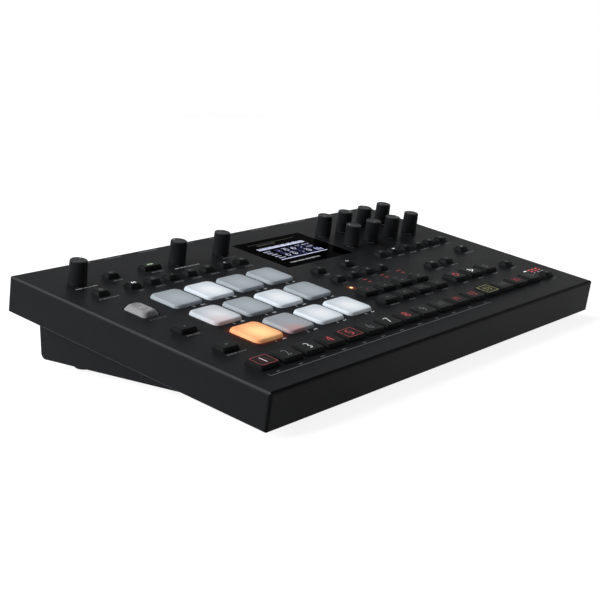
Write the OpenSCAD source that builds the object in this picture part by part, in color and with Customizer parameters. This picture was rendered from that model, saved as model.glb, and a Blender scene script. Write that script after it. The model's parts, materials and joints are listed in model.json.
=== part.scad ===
/* [Panel] */
// Distance from the panel's sides to the outermost small keys
side_margin = 21; // [17:0.1:24]
// Distance from the panel's front edge to the front row of keys
front_margin = 23.6; // [20:0.1:26]
// Distance from the single knobs' centres to the panel's rear edge
rear_margin = 34.7; // [30:0.5:38]
// Gap between the columns of controls
column_gap = 15.6; // [14:0.1:20]
// Gap between the front row of keys and what stands behind it
front_gap = 15.7; // [15:0.1:20]
// Slope of the control panel in degrees
panel_slope = 10; // [8:0.5:12]
// Height of the lip that runs round the panel
lip_h = 24; // [23:0.5:28]
// Thickness of the sheet that the covers are made of
sheet = 2; // [1.5:0.1:2.2]
// Radius of the panel's bent top edges
edge_r = 2.2; // [1.6:0.1:3.2]
// Radius of the panel's four corners, seen from above
corner_r = 2.4; // [1.6:0.2:5]

/* [Lower box] */
// How far the box's sides stand in from the panel's sides
box_inset = 23.5; // [22.5:0.5:25]
// Where the box's floor meets the panel's underside, behind the front edge
nose_setback = 10.5; // [8:0.5:13]
// How far the rear panel stands in from the rearmost edge
rear_recess = 2.8; // [2.6:0.1:3.2]
// Radius of the box's lower rear edge
box_edge_r = 4; // [2:0.5:4.5]
// How far the base flange lies up inside the lip
flange_recess = 0.8; // [0.4:0.1:1.4]

/* [Feet and fasteners] */
// Height of the rubber feet
foot_h = 7; // [5:0.5:9]
// Radius of the rubber feet
foot_r = 9; // [7:0.5:11]
// Distance of the feet from the box's sides
foot_side = 22; // [16:1:30]
// Distance of the feet from the front and rear of the box's floor
foot_end = 20; // [14:1:26]
// Radius of the screws' shanks
screw_r = 1.2; // [1:0.1:1.4]
// Radius of the screws' heads
screw_head_r = 2.7; // [2.4:0.1:3]
// Height of the screws' heads
screw_head_h = 1.6; // [1.2:0.1:1.8]
// Distance between the stand's threaded holes
stand_pitch = 100; // [75:25:100]
// Radius of the stand's threaded holes
stand_hole_r = 2; // [1.6:0.1:2.5]
// Depth of the stand's threaded holes
stand_hole_depth = 7; // [5:0.5:7.5]

/* [Pads] */
// Distance between pad centres, left to right
pad_pitch_x = 30.6; // [29.5:0.05:31.2]
// Distance between pad centres, front to back
pad_pitch_y = 34.4; // [33.5:0.1:36]
// Width of a pad
pad_w = 25.6; // [24:0.1:26.4]
// Depth of a pad
pad_d = 26; // [24:0.1:27]
// Height of a pad over the panel
pad_h = 2.1; // [1.6:0.1:3]
// How far a pad sinks when it is struck
pad_travel = 0.8; // [0.4:0.1:1]

/* [Keys] */
// Width of a front row key
trig_w = 17.2; // [15:0.1:17.8]
// Depth of a front row key
trig_d = 14; // [13:0.1:15]
// Width of a small key
key_w = 10.4; // [9.6:0.1:11.2]
// Depth of a small key
key_d = 8.6; // [8:0.1:9.4]
// Width of a wide key
wide_key_w = 15.5; // [14:0.1:16.2]
// Depth of a wide key
wide_key_d = 10.6; // [9.6:0.1:11.2]
// Width of the function key
func_w = 13.6; // [13:0.1:16]
// Depth of the function key
func_d = 19.5; // [17:0.1:21]
// Distance between the centres of the wide keys
wide_pitch = 20.93; // [18:0.01:24]
// Distance between the two rows of wide keys
wide_row_pitch = 17; // [14:0.1:20]
// Distance between the centres of the row of small keys over the pads
track_pitch = 17.5; // [14:0.1:18.4]
// Distance between the centres of the keys under the screen
arrow_pitch = 17.2; // [14:0.1:18]
// Distance between the centres of the keys under the data knobs
page_pitch = 16.56; // [14:0.05:19]
// Height of the keys over the panel
key_h = 3; // [2.4:0.1:3.6]
// How far a key sinks when it is pressed
key_travel = 1; // [0.6:0.1:1.1]
// Gap round each key and pad in its opening
key_gap = 0.35; // [0.25:0.05:0.5]

/* [Knobs] */
// Radius of a knob at its foot
knob_r = 6.1; // [5.9:0.1:6.6]
// Radius of a knob at its top
knob_top_r = 5.8; // [5.3:0.1:6.1]
// Radius of the volume knob at its foot
volume_knob_r = 6.4; // [6.1:0.1:7]
// Height of the knobs' tops over the panel
knob_h = 17; // [14:0.5:19]
// Radius of the knobs' shafts
shaft_r = 3; // [2.6:0.1:3.1]
// Distance between the centres of the data knobs, left to right
data_knob_pitch = 26.2; // [25:0.1:27]
// Distance between the two rows of data knobs
data_knob_row_pitch = 28.4; // [26:0.1:30]

/* [Screen] */
// Width of the screen's window
window_w = 77; // [72:0.5:79]
// Depth of the screen's window
window_d = 55.5; // [50:0.5:57]

/* [Rear sockets] */
// Radius of the bore that takes an audio plug
jack_bore_r = 3.2; // [3.15:0.01:3.3]
// Radius of the cavity that takes a round five-pin plug
din_bore_r = 6.8; // [6.7:0.05:7]
// Distance between the five-pin sockets
din_pitch = 21.4; // [20:0.1:23]
// Turn of the power rocker between its two ends, in degrees
rocker_turn = 20; // [12:1:24]

/* [Hidden] */
$fn = 64;

// Clearances
fit_gap = 0.05;
flange_gap = 0.15;
cover_gap = 0.3;

// Board and keys, as heights off the panel
key_flange = 0.9;
key_flange_t = 1;
board_t = 1.6;
board_top = -9.6;
board_side = 17;
board_front = 12;
board_rear = 10;
switch_w = 6;
switch_top = board_top + 4;
plunger_r = 1.75;
plunger_h = 0.8;
press_room = 0.2;
sensor_t = 1;
pad_inset = 0.6;
pad_corner_r = 4;
key_corner_r = 1.2;
key_inset = 1.5;
wide_key_inset = 1;
trig_inset = 0.8;
stem_w = 4;

// Pads: three rows of four, the front row first
trig_y = front_margin + trig_d / 2;
row_front = trig_y + trig_d / 2 + front_gap;
left_x = side_margin + func_w / 2;
pad_x = left_x + func_w / 2 + column_gap + pad_w / 2;
pad_y = row_front + pad_d / 2;
pad_at = [for (j = [0:2], i = [0:3]) [pad_x + i * pad_pitch_x, pad_y + j * pad_pitch_y]];
pads_left = pad_x - pad_w / 2;
pads_right = pad_x + 3 * pad_pitch_x + pad_w / 2;
pads_rear = pad_y + 2 * pad_pitch_y + pad_d / 2;

// The middle column is as wide as the screen or the wide keys under it
middle_left = pads_right + column_gap;
middle_w = max(window_w, 3 * wide_pitch + wide_key_w);
middle_right = middle_left + middle_w;
window_shift = 0.5;
window_x = middle_left + middle_w / 2 + window_shift;

// The right column ends at the panel's right margin
page_gap = 9.31;
page_x = middle_right + page_gap + key_w / 2;
panel_w = page_x + 5 * page_pitch + key_w / 2 + side_margin;

// Rows, from the keys over the pads to the panel's rear edge
track_gap = 15.1;
knob_rise = 20.8;
track_y = pads_rear + track_gap + key_d / 2;
knob_y = track_y + knob_rise;
panel_d = knob_y + rear_margin;

// Single knobs, and the two rows of data knobs
volume_shift = -1.5;
level_shift = 53.9;
select_shift = 98.3;
data_shift = [-1.9, -5.6];
volume_at = [left_x + volume_shift, knob_y];
level_at = [pad_x + level_shift, knob_y];
select_at = [pad_x + select_shift, knob_y];
data_x = page_x + data_shift[0];
data_y = knob_y + data_shift[1];
data_at = [for (j = [0, 1], i = [0:3]) [data_x + i * data_knob_pitch, data_y - j * data_knob_row_pitch]];
knob_at = concat([volume_at, level_at, select_at], data_at);

// Front row: sixteen keys that run from the left margin to the single key at the right end
trig_shift = -1.6;
trig_end_gap = 8.7;
single_inset = 24.6;
trig_x = side_margin + trig_shift + trig_w / 2;
trig_end = panel_w - single_inset - key_w / 2 - trig_end_gap - trig_w / 2;
trig_pitch = (trig_end - trig_x) / 15;
trig_at = [for (i = [0:15]) [trig_x + i * trig_pitch, trig_y]];

// The other keys, each [x, y, width, depth]
func_h = 3.2;
func_drop = 4.5;
left_key_drop = [7, 7];
upper_rise = 1.5;
upper_key_x = [-6.2, 29.3];
track_x = pad_x - 7.3;
upper_y = knob_y + upper_rise;
func_at = [[left_x, pad_y + 2 * pad_pitch_y - func_drop, func_w, func_d]];
left_at = concat(
    [[left_x, track_y, key_w, key_d]],
    [for (i = [0:6]) [track_x + i * track_pitch, track_y, key_w, key_d]],
    [[pad_x + upper_key_x[0], upper_y, key_w, key_d],
     [pad_x + upper_key_x[1], upper_y, wide_key_w + 0.8, key_d]],
    [for (j = [0, 1]) [left_x, pad_y + j * pad_pitch_y - left_key_drop[j], wide_key_w - 1, wide_key_d]]);

window_drop = 18.2;
window_y = knob_y - window_drop;
confirm_gap = 12.6;
arrow_drop = 19.2;
confirm_x = [-25, 8];
arrow_x = -26.6;
confirm_y = window_y - window_d / 2 - confirm_gap - key_d / 2;
screen_at = concat(
    [for (x = confirm_x) [window_x + x, confirm_y, key_w, key_d]],
    [for (i = [0:3]) [window_x + arrow_x + i * arrow_pitch, confirm_y - arrow_drop, key_w, key_d]]);

mode_x = middle_left + wide_key_w / 2;
mode_rise = 1;
mode_y = row_front + mode_rise + wide_key_d / 2;
mode_at = [
    for (j = [0, 1], i = [0:3])
        [mode_x + i * wide_pitch, mode_y + j * wide_row_pitch, wide_key_w, wide_key_d]];

page_drop = 27.4;
page_y = data_y - data_knob_row_pitch - page_drop;
page_at = [for (i = [0:5]) [page_x + i * page_pitch, page_y, key_w, key_d]];

transport_shift = [6.8, 3];
transport_x = page_x + transport_shift[0];
transport_y = mode_y + transport_shift[1];
transport_at = [for (i = [0:2]) [transport_x + i * wide_pitch, transport_y, wide_key_w, trig_d]];

// Five single keys, measured from the panel's right side or from the page keys
single_insets = [31.3, 32, single_inset];
single_drops = [24, 2.3, 2.4];
pair_shift = 16.1;
pair_pitch = 20.5;
pair_drop = 36.5;
right_at = [
    for (p = [
        [panel_w - single_insets[0], page_y - single_drops[0]],
        [page_x + pair_shift, page_y - pair_drop], [page_x + pair_shift + pair_pitch, page_y - pair_drop],
        [panel_w - single_insets[1], transport_y - single_drops[1]],
        [panel_w - single_insets[2], trig_y - single_drops[2]]])
        [p[0], p[1], key_w, key_d]];
small_at = concat(func_at, left_at, screen_at, mode_at, page_at, transport_at, right_at);

// Knobs, as heights off the panel and radii
knob_lift = 0.6;
knob_hollow_r = 5.2;
knob_hollow_h = 5.6;
knob_top_t = 2.5;
knob_edge = 0.6;
bushing_r = shaft_r + 0.6;
bushing_h = 4.4;
encoder_w = 12;
shaft_foot = board_top + 1.6;
nut_r = 5;
nut_t = 2;

// The frame: the origin is on the ground under the middle of the part, and +Y points to its rear.
// Panel coordinates are x from the left side, y up the slope from the front edge, z off the panel.
front_y = -(panel_d * cos(panel_slope) + lip_h * sin(panel_slope)) / 2;
back_y = -front_y - rear_recess;
nose_y = front_y + nose_setback;
flange_z = -lip_h + flange_recess;
front_z = foot_h - flange_z / cos(panel_slope) - nose_setback * tan(panel_slope);
box_w = panel_w - 2 * box_inset;
// Height, at a place y, of the plane that lies z off the panel
function plane_z(y, z) = front_z + (y - front_y) * tan(panel_slope) + z / cos(panel_slope);
far = 2 * panel_w;
skin = 0.1;
lip_bevel = 0.4;

// Screen
window_r = 1.5;
window_rim = 1.5;
window_rim_t = 1;
module_w = window_w - 4;
module_d = window_d - 6;

// Posts under the panel, for the control board and for the base
post_y = row_front - front_gap / 2;
rear_post_y = panel_d - rear_margin / 2;
board_posts = [
    [pads_left - column_gap / 2, post_y], [pads_left - column_gap / 2, func_at[0][1] - func_d],
    [middle_left - column_gap / 4, post_y], [transport_x + 2 * wide_pitch + wide_key_w - 3, post_y],
    [(middle_right + page_x - key_w / 2) / 2, page_y - key_d - 2],
    [pads_left - column_gap / 2, rear_post_y], [(level_at[0] + select_at[0]) / 2, rear_post_y],
    [middle_right + page_gap / 2 + 1, rear_post_y], [page_x + 5 * page_pitch + key_w / 4, rear_post_y]];
post_r = 2.8;
case_post_r = 3.4;
case_post_x = 11.5;
case_post_y = 17;
case_posts = [
    for (x = [case_post_x, panel_w - case_post_x], y = [case_post_y, panel_d / 2, panel_d - case_post_y])
        [x, y]];
case_screw_l = 12;
board_screw_l = 6;

// Feet, stand holes and bosses in the base
foot_at = [
    for (x = [-1, 1], y = [nose_y + foot_end, back_y - foot_end])
        [x * (box_w / 2 - foot_side), y]];
foot_bore_r = 4;
foot_bore_h = foot_h / 2;
foot_chamfer = 1.2;
boss_r = 3.6;
boss_h = 5;
stand_y = (nose_y + back_y) / 2;
stand_at = [for (x = [-1, 1], y = [-1, 1]) [x * stand_pitch / 2, stand_y + y * stand_pitch / 2]];
stand_boss_r = stand_hole_r + 2.4;
nose_solid = 12;

// Rear panel and its brackets, on a ledge that ends just under the sockets
main_rise = 9;
main_top = foot_h + sheet + main_rise + board_t;
ledge_drop = 0.6;
rear_bottom = main_top - ledge_drop;
rear_top = plane_z(back_y - sheet, flange_z);
bracket_w = 9;
bracket_t = 2;
rear_screws = [
    for (x = [-1, 1], z = [rear_bottom + 5, rear_top - 7])
        [x * (box_w / 2 - sheet - bracket_w / 2), z]];
rear_screw_l = 5;

// Main board and what stands on it
main_d = 64;
main_w = box_w - 2 * sheet - 2 * bracket_w - 4;
main_rear = back_y - sheet - 0.5;
chip = [20, 20, 2];
chip_x = 14;
chip_gap = 8;
chip_inset = 6;
memory = [14, 10, 1.6];
voice = [9, 12, 1.8];
voice_x = 24;
voice_pitch = 16;
jack_count = 11;
jack_w = 11.4;
jack_h = 12;
jack_l = 24;
main_posts = [for (x = [-1, 0, 1], y = [jack_l + 6, main_d - 8]) [x * (main_w / 2 - 8), main_rear - y]];
jack_wall = 1.2;
jack_nose_r = 4.5;
jack_nut_r = 6.3;
jack_nut_t = 1.6;
jack_nose = 2.2;
jack_side = 18.5;
din_gap = 19.5;
usb_gap = 18.4;
power_gap = 13.2;
rocker_gap_x = 16.5;
rocker_side = 29.1;
jack_x = -box_w / 2 + jack_side;
jack_pitch = (box_w - jack_side - din_gap - 2 * din_pitch - usb_gap - power_gap - rocker_gap_x - rocker_side)
    / (jack_count - 1);
jack_at = [for (i = [0:jack_count - 1]) jack_x + i * jack_pitch];
din_w = 19.6;
din_h = 19;
din_l = 13;
din_nose_r = 8;
din_depth = 9;
din_at = [for (i = [0:2]) jack_at[jack_count - 1] + din_gap + i * din_pitch];
usb_w = 12;
usb_h = 11;
usb_l = 16;
usb_in_w = 8.5;
usb_in_h = 7.8;
usb_in_l = 9.5;
usb_x = din_at[2] + usb_gap;
power_w = 9;
power_h = 11;
power_l = 14;
power_nose_r = 4.2;
power_bore_r = 3.15;
power_depth = 10;
power_x = usb_x + power_gap;
socket_proud = 0.3;

// Power rocker
rocker_x = power_x + rocker_gap_x;
rocker_r = 6.2;
rocker_w = 8;
rocker_chord = 3.6;
rocker_gap = 0.3;
rocker_pin_r = 1.2;
rocker_pin_l = 1.5;
bezel_t = 1.2;
bezel_rim = 1.2;
switch_case_w = rocker_w + 2 * (rocker_gap + rocker_pin_l + 1);
switch_case_h = 17;
switch_case_l = 13;
rocker_z = main_top + cover_gap + bezel_rim + switch_case_h / 2;
rocker_y = back_y + bezel_t - rocker_chord + 0.4;

// Colours
body_black = [0.10, 0.10, 0.11];
key_black = [0.07, 0.07, 0.08];
knob_grey = [0.16, 0.16, 0.17];
pad_white = [0.80, 0.82, 0.85];
func_grey = [0.52, 0.52, 0.53];
board_green = [0.06, 0.28, 0.16];
steel = [0.72, 0.73, 0.75];

// Puts children on the sloping panel
module on_panel() {
    translate([-panel_w / 2, front_y, front_z]) rotate([panel_slope, 0, 0]) children();
}

// Turns an outline drawn in (y, z) into a prism along x, centred
module along_x(w) {
    rotate([90, 0, 90]) linear_extrude(height = w, center = true) children();
}

// Turns an outline drawn in (x, z) into a prism along y, centred
module along_y(d) {
    rotate([90, 0, 0]) linear_extrude(height = d, center = true) children();
}

module rounded_outline(w, d, r) {
    square([w - 2 * r, d], center = true);
    square([w, d - 2 * r], center = true);
    for (x = [-1, 1], y = [-1, 1])
        translate([x * (w / 2 - r), y * (d / 2 - r)]) circle(r = r);
}

module rounded_plate(w, d, h, r) {
    linear_extrude(height = h) rounded_outline(w, d, r);
}

// An outline with bevelled lower corners and round upper ones
module bent_outline(w, h, r) {
    polygon([
        [-w / 2 + lip_bevel, -h], [w / 2 - lip_bevel, -h], [w / 2, lip_bevel - h],
        [w / 2, -r], [-w / 2, -r], [-w / 2, lip_bevel - h]]);
    translate([-w / 2 + r, -h]) square([w - 2 * r, h]);
    for (x = [-1, 1]) translate([x * (w / 2 - r), -r]) circle(r = r);
}

// Cap with sloping sides, standing on z = 0
module tapered_cap(w, d, h, inset, r) {
    intersection() {
        rounded_plate(w, d, h, r);
        along_y(d + skin)
            polygon([[-w / 2, 0], [w / 2, 0], [w / 2 - inset, h], [-w / 2 + inset, h]]);
        along_x(w + skin)
            polygon([[-d / 2, 0], [d / 2, 0], [d / 2 - inset, h], [-d / 2 + inset, h]]);
    }
}

// Cap over the panel, neck through it and flange under it
module plunger_cap(w, d, h, inset, r) {
    neck = sheet + flange_gap;
    tapered_cap(w, d, h, inset, r);
    translate([0, 0, -neck]) rounded_plate(w, d, neck, r);
    translate([0, 0, -neck - key_flange_t])
        rounded_plate(w + 2 * key_flange, d + 2 * key_flange, key_flange_t, r);
}

module key(p, h, inset) {
    stem_foot = switch_top + key_travel + press_room;
    translate([p[0], p[1], 0]) {
        plunger_cap(p[2], p[3], h, inset, key_corner_r);
        translate([-stem_w / 2, -stem_w / 2, stem_foot])
            cube([stem_w, stem_w, -sheet - stem_foot]);
    }
}

// Wide keys are flatter on top than small ones
module key_group(places) {
    on_panel() for (p = places)
        key(p, key_h, p[2] > key_w + skin ? wide_key_inset : key_inset);
}

module pad(i) {
    foot = board_top + sensor_t + pad_travel + press_room;
    color(pad_white) on_panel() translate([pad_at[i - 1][0], pad_at[i - 1][1], 0]) {
        plunger_cap(pad_w, pad_d, pad_h, pad_inset, pad_corner_r);
        translate([0, 0, foot]) rounded_plate(pad_w - 4, pad_d - 4, -sheet - foot, pad_corner_r / 2);
    }
}

module trig_key(i) {
    color(key_black) on_panel()
        key([trig_at[i - 1][0], trig_at[i - 1][1], trig_w, trig_d], key_h, trig_inset);
}

module func_key() {
    color(func_grey) on_panel() key(func_at[0], func_h, wide_key_inset);
}

// A knob's cap, hollow over the bushing and its nut, with the shaft that it is pressed on
module knob(at, foot_r) {
    bore_top = knob_h - knob_top_t;
    color(knob_grey) on_panel() translate([at[0], at[1], 0]) {
        rotate_extrude() polygon([
            [knob_hollow_r, knob_lift], [foot_r, knob_lift],
            [knob_top_r, knob_h - knob_edge], [knob_top_r - knob_edge, knob_h],
            [0, knob_h], [0, bore_top], [shaft_r + fit_gap, bore_top],
            [shaft_r + fit_gap, knob_hollow_h], [knob_hollow_r, knob_hollow_h]]);
        translate([0, 0, shaft_foot]) cylinder(r = shaft_r, h = bore_top - fit_gap - shaft_foot);
    }
}

module top_cover() {
    cut = lip_h + skin;
    color(body_black) on_panel() {
        difference() {
            intersection() {
                translate([panel_w / 2, panel_d / 2, -lip_h])
                    rounded_plate(panel_w, panel_d, lip_h, corner_r);
                translate([panel_w / 2, panel_d / 2, 0])
                    along_y(panel_d) bent_outline(panel_w, lip_h, edge_r);
                translate([panel_w / 2, panel_d / 2, 0]) along_x(panel_w) difference() {
                    bent_outline(panel_d, lip_h, edge_r);
                    translate([panel_d / 2, -lip_h]) corner_cut(edge_r);
                }
            }
            translate([panel_w / 2, panel_d / 2, -sheet - cut])
                rounded_plate(panel_w - 2 * sheet, panel_d - 2 * sheet, cut, corner_r - sheet / 2);
            panel_openings();
        }
        for (p = board_posts) post(p, post_r, board_top, board_screw_l - board_t);
        for (p = case_posts) post(p, case_post_r, flange_z + sheet, case_screw_l - sheet);
    }
}

// What is cut away to round a lower right corner with the radius r
module corner_cut(r) {
    difference() {
        translate([-r, -skin]) square([r + skin, r + skin]);
        translate([-r, r]) circle(r = r);
    }
}

// A hollow post that hangs from the panel down to z
module post(p, r, z, bore) {
    translate([p[0], p[1], z]) difference() {
        cylinder(r = r, h = -sheet - z + skin);
        translate([0, 0, -skin]) cylinder(r = screw_r + fit_gap, h = bore + skin);
    }
}

// Every opening that is cut through the panel
module panel_openings() {
    deep = sheet + edge_r;
    translate([0, 0, -deep]) {
        for (p = pad_at) translate(p)
            rounded_plate(pad_w + 2 * key_gap, pad_d + 2 * key_gap, 2 * deep, pad_corner_r + key_gap);
        for (p = trig_at) translate(p)
            rounded_plate(trig_w + 2 * key_gap, trig_d + 2 * key_gap, 2 * deep, key_corner_r + key_gap);
        for (p = small_at) translate([p[0], p[1]])
            rounded_plate(p[2] + 2 * key_gap, p[3] + 2 * key_gap, 2 * deep, key_corner_r + key_gap);
        for (p = knob_at) translate(p) cylinder(r = bushing_r + fit_gap, h = 2 * deep);
        translate([window_x, window_y])
            rounded_plate(window_w + 2 * flange_gap, window_d + 2 * flange_gap, 2 * deep, window_r);
    }
}

module base_case() {
    mid = flange_z + sheet / 2;
    inner_w = box_w - 2 * sheet;
    color(body_black) {
        difference() {
            union() {
                along_x(box_w) difference() {
                    polygon([
                        [nose_y, foot_h], [back_y, foot_h], [back_y, plane_z(back_y, mid)],
                        [nose_y, plane_z(nose_y, mid)]]);
                    translate([back_y, foot_h]) corner_cut(box_edge_r);
                }
                on_panel() translate([panel_w / 2, panel_d / 2, flange_z])
                    rounded_plate(panel_w - 2 * (sheet + cover_gap), panel_d - 2 * (sheet + cover_gap), sheet,
                        corner_r - sheet / 2);
            }
            translate([-inner_w / 2, nose_y + nose_solid, foot_h + sheet])
                cube([inner_w, back_y - sheet - nose_y - nose_solid, far]);
            translate([-inner_w / 2, back_y - 2 * sheet, rear_bottom])
                cube([inner_w, 3 * sheet, rear_top - rear_bottom]);
            for (p = foot_at) translate([p[0], p[1], foot_h - skin])
                cylinder(r = screw_r + fit_gap, h = sheet + 2 * skin);
            for (p = stand_at) translate([p[0], p[1], foot_h - skin])
                cylinder(r = stand_hole_r, h = sheet + 2 * skin);
            on_panel() for (p = case_posts) translate([p[0], p[1], flange_z - skin])
                cylinder(r = screw_r + fit_gap, h = sheet + 2 * skin);
        }
        for (p = foot_at) boss(p, boss_r, boss_h, screw_r + fit_gap);
        for (p = stand_at) boss(p, stand_boss_r, stand_hole_depth - sheet, stand_hole_r);
        for (p = main_posts) boss(p, boss_r, main_rise, screw_r + fit_gap);
        for (x = [-1, 1]) difference() {
            translate([x * (inner_w - bracket_w) / 2, back_y - sheet - bracket_t / 2, 0])
                translate([-bracket_w / 2, -bracket_t / 2, foot_h + sheet])
                cube([bracket_w, bracket_t, rear_top - foot_h - sheet - 1]);
            for (p = rear_screws) translate([p[0], back_y, p[1]]) rotate([90, 0, 0])
                cylinder(r = screw_r + fit_gap, h = sheet + bracket_t + skin);
        }
    }
}

// A hollow boss that stands on the box's floor
module boss(p, r, h, bore_r) {
    translate([p[0], p[1], foot_h + sheet]) difference() {
        cylinder(r = r, h = h);
        translate([0, 0, -skin]) cylinder(r = bore_r, h = h + 2 * skin);
    }
}

module rear_hole(x, z, r) {
    translate([x, back_y + skin, z]) rotate([90, 0, 0]) cylinder(r = r, h = sheet + 2 * skin);
}

module rear_panel() {
    w = box_w - 2 * sheet - 2 * skin;
    color(body_black) difference() {
        translate([-w / 2, back_y - sheet, rear_bottom]) cube([w, sheet, rear_top - rear_bottom]);
        for (x = jack_at) rear_hole(x, main_top + jack_h / 2, jack_nose_r + fit_gap);
        for (x = din_at) rear_hole(x, main_top + din_h / 2, din_nose_r + fit_gap);
        rear_hole(power_x, main_top + power_h / 2, power_nose_r + fit_gap);
        for (p = rear_screws) rear_hole(p[0], p[1], screw_r + fit_gap);
        translate([usb_x - usb_w / 2 - fit_gap, back_y - 2 * sheet, rear_bottom - skin])
            cube([usb_w + 2 * fit_gap, 3 * sheet, skin + ledge_drop + usb_h + fit_gap]);
        translate([rocker_x, back_y, rocker_z])
            cube([switch_case_w + 2 * fit_gap, 3 * sheet, switch_case_h + 2 * fit_gap], center = true);
    }
}

module rubber_feet() {
    color(key_black) for (p = foot_at) translate([p[0], p[1], 0]) rotate_extrude() polygon([
        [screw_r + fit_gap, foot_h], [foot_r, foot_h], [foot_r, foot_chamfer],
        [foot_r - foot_chamfer, 0], [foot_bore_r, 0], [foot_bore_r, foot_bore_h],
        [screw_r + fit_gap, foot_bore_h]]);
}

// A pan-head screw that points up, its head just under z = 0
module screw(l) {
    translate([0, 0, -screw_head_h]) cylinder(r = screw_head_r, h = screw_head_h);
    cylinder(r = screw_r, h = l);
}

module case_screws() {
    color(steel) {
        on_panel() {
            for (p = case_posts) translate([p[0], p[1], flange_z]) screw(case_screw_l - 1);
            for (p = board_posts) translate([p[0], p[1], board_top - board_t]) screw(board_screw_l - 1);
        }
        for (p = foot_at) translate([p[0], p[1], foot_bore_h])
            screw(foot_h - foot_bore_h + sheet + boss_h - 1);
        for (p = main_posts) translate([p[0], p[1], main_top]) mirror([0, 0, 1])
            screw(board_t + main_rise - 1);
        for (p = rear_screws) translate([p[0], back_y, p[1]]) rotate([90, 0, 0]) screw(rear_screw_l);
    }
}

module control_board() {
    w = panel_w - 2 * board_side;
    d = panel_d - board_front - board_rear;
    color(board_green) on_panel() difference() {
        translate([board_side, board_front, board_top - board_t]) cube([w, d, board_t]);
        for (p = board_posts) translate([p[0], p[1], board_top - board_t - skin])
            cylinder(r = screw_r + fit_gap, h = board_t + 2 * skin);
    }
}

// A push switch under every key and a pressure sensor under every pad
module switches_and_pad_sensors() {
    places = concat(trig_at, [for (p = small_at) [p[0], p[1]]]);
    color(key_black) on_panel() {
        for (p = places) translate([p[0], p[1], board_top]) {
            translate([-switch_w / 2, -switch_w / 2, 0])
                cube([switch_w, switch_w, switch_top - board_top - plunger_h]);
            cylinder(r = plunger_r, h = switch_top - board_top);
        }
        for (p = pad_at) translate([p[0], p[1], board_top])
            rounded_plate(pad_w - 2, pad_d - 2, sensor_t, pad_corner_r / 2);
    }
}

// Encoders and the volume control: a body on the board, a threaded bushing and its nut
module encoder_bodies() {
    color(steel) on_panel() for (p = knob_at) translate([p[0], p[1], 0]) {
        difference() {
            union() {
                translate([-encoder_w / 2, -encoder_w / 2, board_top])
                    cube([encoder_w, encoder_w, -sheet - board_top]);
                translate([0, 0, -sheet]) cylinder(r = bushing_r, h = bushing_h + sheet);
            }
            translate([0, 0, shaft_foot - fit_gap]) cylinder(r = shaft_r + fit_gap, h = far);
        }
        difference() {
            cylinder(r = nut_r, h = nut_t, $fn = 6);
            translate([0, 0, -skin]) cylinder(r = bushing_r + fit_gap, h = nut_t + 2 * skin);
        }
    }
}

module display_module() {
    top = -sheet - window_rim_t - skin;
    color(key_black) on_panel() translate([window_x, window_y, board_top])
        rounded_plate(module_w, module_d, top - board_top, window_r);
}

module display_window() {
    color([0.02, 0.02, 0.03]) on_panel() translate([window_x, window_y, -sheet]) {
        rounded_plate(window_w, window_d, sheet, window_r);
        translate([0, 0, -window_rim_t]) rounded_plate(
            window_w + 2 * window_rim, window_d + 2 * window_rim, window_rim_t, window_r);
    }
}

module main_board() {
    color(board_green) difference() {
        translate([-main_w / 2, main_rear - main_d, main_top - board_t]) cube([main_w, main_d, board_t]);
        for (p = main_posts) translate([p[0], p[1], main_top - board_t - skin])
            cylinder(r = screw_r + fit_gap, h = board_t + 2 * skin);
    }
    // The processor, its memory and a row of voice circuits
    color(key_black) translate([0, main_rear - main_d + chip_inset, main_top + fit_gap]) {
        translate([chip_x, 0, 0]) cube(chip);
        translate([chip_x + chip[0] + chip_gap, 0, 0]) cube(memory);
        for (i = [0:5]) translate([-main_w / 2 + voice_x + i * voice_pitch, 0, 0]) cube(voice);
    }
}

// A prism with its front face at the rear panel's inner face
module socket_body(x, w, h, l) {
    translate([x - w / 2, back_y - sheet - l, main_top]) cube([w, l, h]);
}

// A cylinder along y whose rear end stands at y
module socket_cylinder(x, z, r, y, l) {
    translate([x, y, z]) rotate([90, 0, 0]) cylinder(r = r, h = l);
}

module audio_jacks() {
    z = main_top + jack_h / 2;
    mouth = back_y + jack_nose;
    color(key_black) for (x = jack_at) {
        difference() {
            union() {
                socket_body(x, jack_w, jack_h, jack_l);
                socket_cylinder(x, z, jack_nose_r, mouth, jack_nose + sheet + skin);
            }
            socket_cylinder(x, z, jack_bore_r, mouth + skin, jack_nose + sheet + jack_l - jack_wall + skin);
        }
        difference() {
            translate([x, back_y + jack_nut_t, z]) rotate([90, 0, 0])
                cylinder(r = jack_nut_r, h = jack_nut_t, $fn = 6);
            socket_cylinder(x, z, jack_nose_r + fit_gap, mouth, 2 * jack_nose);
        }
    }
}

// Three five-pin sockets, the computer socket, the power inlet and the rocker's case
module data_sockets() {
    din_z = main_top + din_h / 2;
    power_z = main_top + power_h / 2;
    mouth = back_y + socket_proud;
    color(key_black) {
        for (x = din_at) difference() {
            union() {
                socket_body(x, din_w, din_h, din_l);
                socket_cylinder(x, din_z, din_nose_r, mouth, sheet + socket_proud + skin);
            }
            socket_cylinder(x, din_z, din_bore_r, mouth + skin, din_depth + skin);
        }
        difference() {
            union() {
                socket_body(power_x, power_w, power_h, power_l);
                socket_cylinder(power_x, power_z, power_nose_r, mouth, sheet + socket_proud + skin);
            }
            socket_cylinder(power_x, power_z, power_bore_r, mouth + skin, power_depth + skin);
        }
    }
    color(steel) difference() {
        translate([usb_x - usb_w / 2, back_y + socket_proud - usb_l, main_top])
            cube([usb_w, usb_l, usb_h]);
        translate([usb_x - usb_in_w / 2, mouth - usb_in_l, main_top + (usb_h - usb_in_h) / 2])
            cube([usb_in_w, usb_in_l + skin, usb_in_h]);
    }
    color(key_black) translate([rocker_x, 0, rocker_z]) rocker_case();
}

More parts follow.
